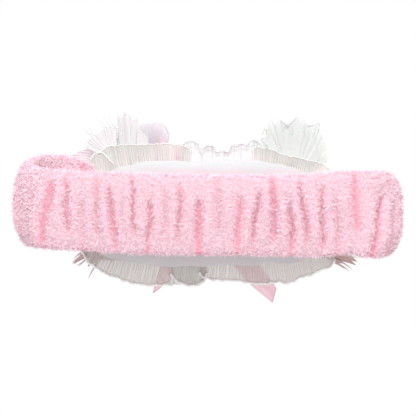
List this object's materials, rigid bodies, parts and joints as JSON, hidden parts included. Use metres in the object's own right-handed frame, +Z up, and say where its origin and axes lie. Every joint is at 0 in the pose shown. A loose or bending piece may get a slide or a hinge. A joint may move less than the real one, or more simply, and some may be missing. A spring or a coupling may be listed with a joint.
{
  "type": "spa headband",
  "caption": "Stretchy plush fleece headband with a padded oval front panel dressed with pleated organza, lace, tulle rosettes and a satin ribbon bow.",
  "frame": {"origin": "middle of the opening that the head goes through, at the strap's middle height", "axes": "+Z up as the band is worn, +Y towards the decorated front, +X along the width of the flat-lying band, to the wearer's left"},
  "size_m": [0.25, 0.0993, 0.1274],
  "materials": {
    "pink_fleece": "matte coral fleece with a deep curly pile",
    "elastic_web": "matte woven elastic",
    "white_flannel": "matte short smooth pile",
    "wadding": "matte fibre wadding",
    "cream_organza": "sheer, crisp, knife pleated, soft sheen",
    "white_lace": "matte open lace",
    "white_tulle": "sheer crisp tulle with raw edges",
    "pink_satin": "satin ribbon with a soft gloss",
    "pale_organza": "sheer pale pink organza ribbon",
    "white_felt": "matte pressed felt"
  },
  "bodies": {
    "front": {"panel_lining": "white_flannel", "panel_padding": "wadding", "panel_cover": "pink_fleece", "ruffle_lower_left": "cream_organza", "ruffle_lower_right": "cream_organza", "ruffle_upper_left": "cream_organza", "ruffle_upper_right": "cream_organza", "lace_edging": "white_lace", "felt_disc_upper_left": "white_felt", "felt_disc_upper_right": "white_felt", "felt_disc_lower_left": "white_felt", "felt_disc_lower_right": "white_felt", "tulle_rosette_upper_left": "white_tulle", "tulle_rosette_upper_right": "white_tulle", "tulle_rosette_lower_left": "white_tulle", "tulle_rosette_lower_right": "white_tulle", "side_loop_left": "pink_satin", "side_loop_right": "pink_satin", "organza_tab_left": "pale_organza", "bow_backing": "white_felt", "bow_loop_left": "pink_satin", "bow_loop_right": "pink_satin", "bow_knot": "pink_satin"},
    "strap": {"strap_sleeve": "pink_fleece", "strap_elastic": "elastic_web"},
    "tail_left": {"ribbon_tail_left": "pink_satin"},
    "tail_right": {"ribbon_tail_right": "pink_satin"}
  },
  "joints": [
    {"name": "strap_stretch", "type": "slide", "parent": "front", "child": "strap", "axis": [0, -1, 0], "range_m": [0, 0.05], "stiffness_N_per_m": 60, "deforming": ["strap_sleeve", "strap_elastic"]},
    {"name": "tail_left_swing", "type": "hinge", "parent": "front", "child": "tail_left", "pos_m": [-0.0094, 0.0445, -0.012], "axis": [1, 0, 0], "range_deg": [0, 70]},
    {"name": "tail_right_swing", "type": "hinge", "parent": "front", "child": "tail_right", "pos_m": [0.0054, 0.0445, -0.012], "axis": [1, 0, 0], "range_deg": [0, 70]}
  ]
}
